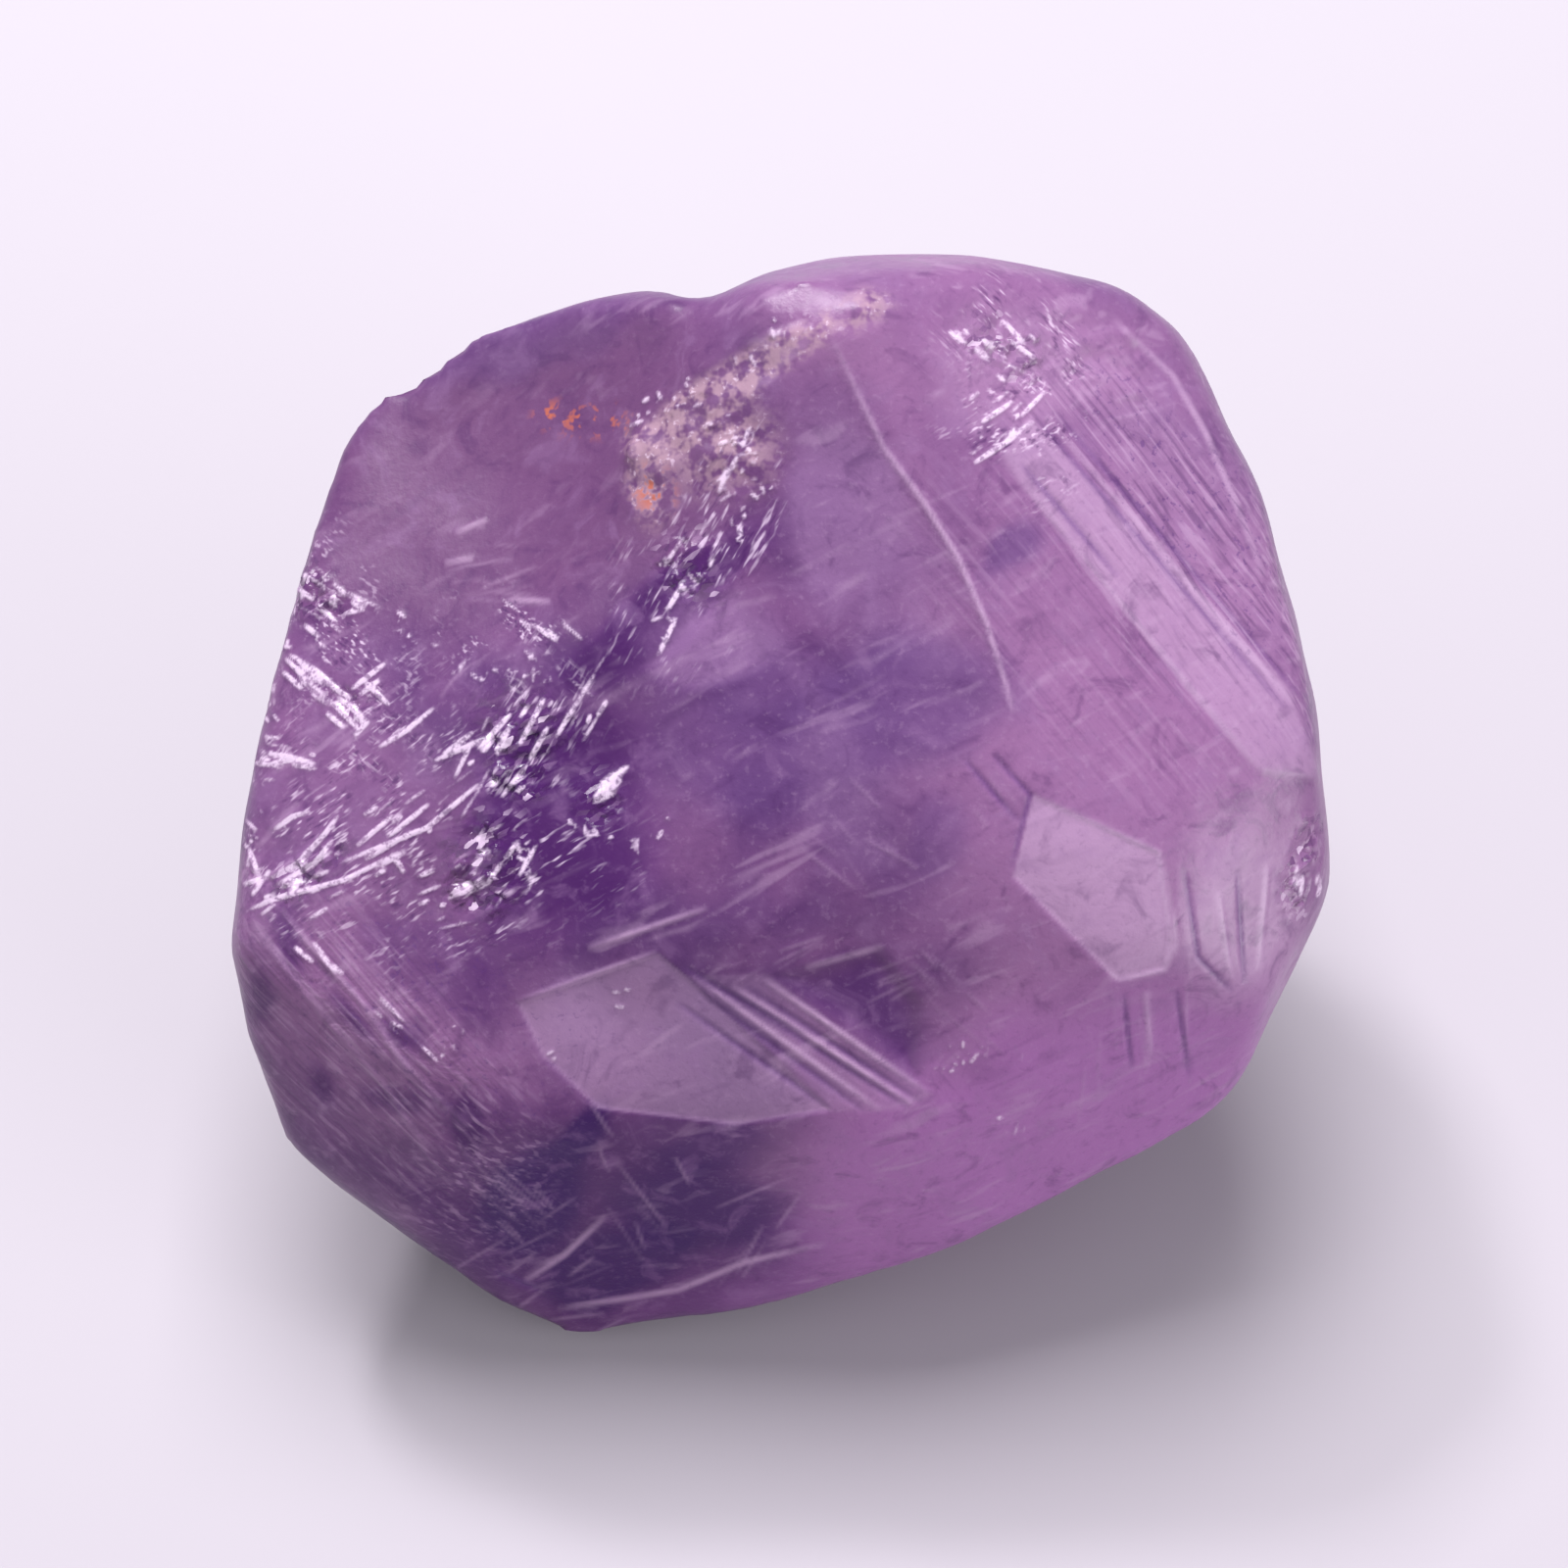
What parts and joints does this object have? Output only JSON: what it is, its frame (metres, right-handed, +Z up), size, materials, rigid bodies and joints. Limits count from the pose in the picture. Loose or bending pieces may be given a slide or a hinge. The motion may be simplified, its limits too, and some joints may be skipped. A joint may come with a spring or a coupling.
{
  "type": "rough amethyst",
  "caption": "Rough amethyst: an irregular lump of cloudy violet quartz with broken, shell-like and striated faces, lying on its flattest face.",
  "frame": {"origin": "under the middle of the lump's bounding box, on the surface that it rests on", "axes": "+Z up; +X along the lump's longest side; the broad, striated side faces up and towards -Y"},
  "size_m": [0.0398, 0.0306, 0.0321],
  "materials": {
    "amethyst": "gloss"
  },
  "bodies": {
    "root": {"amethyst": "amethyst"}
  },
  "joints": []
}
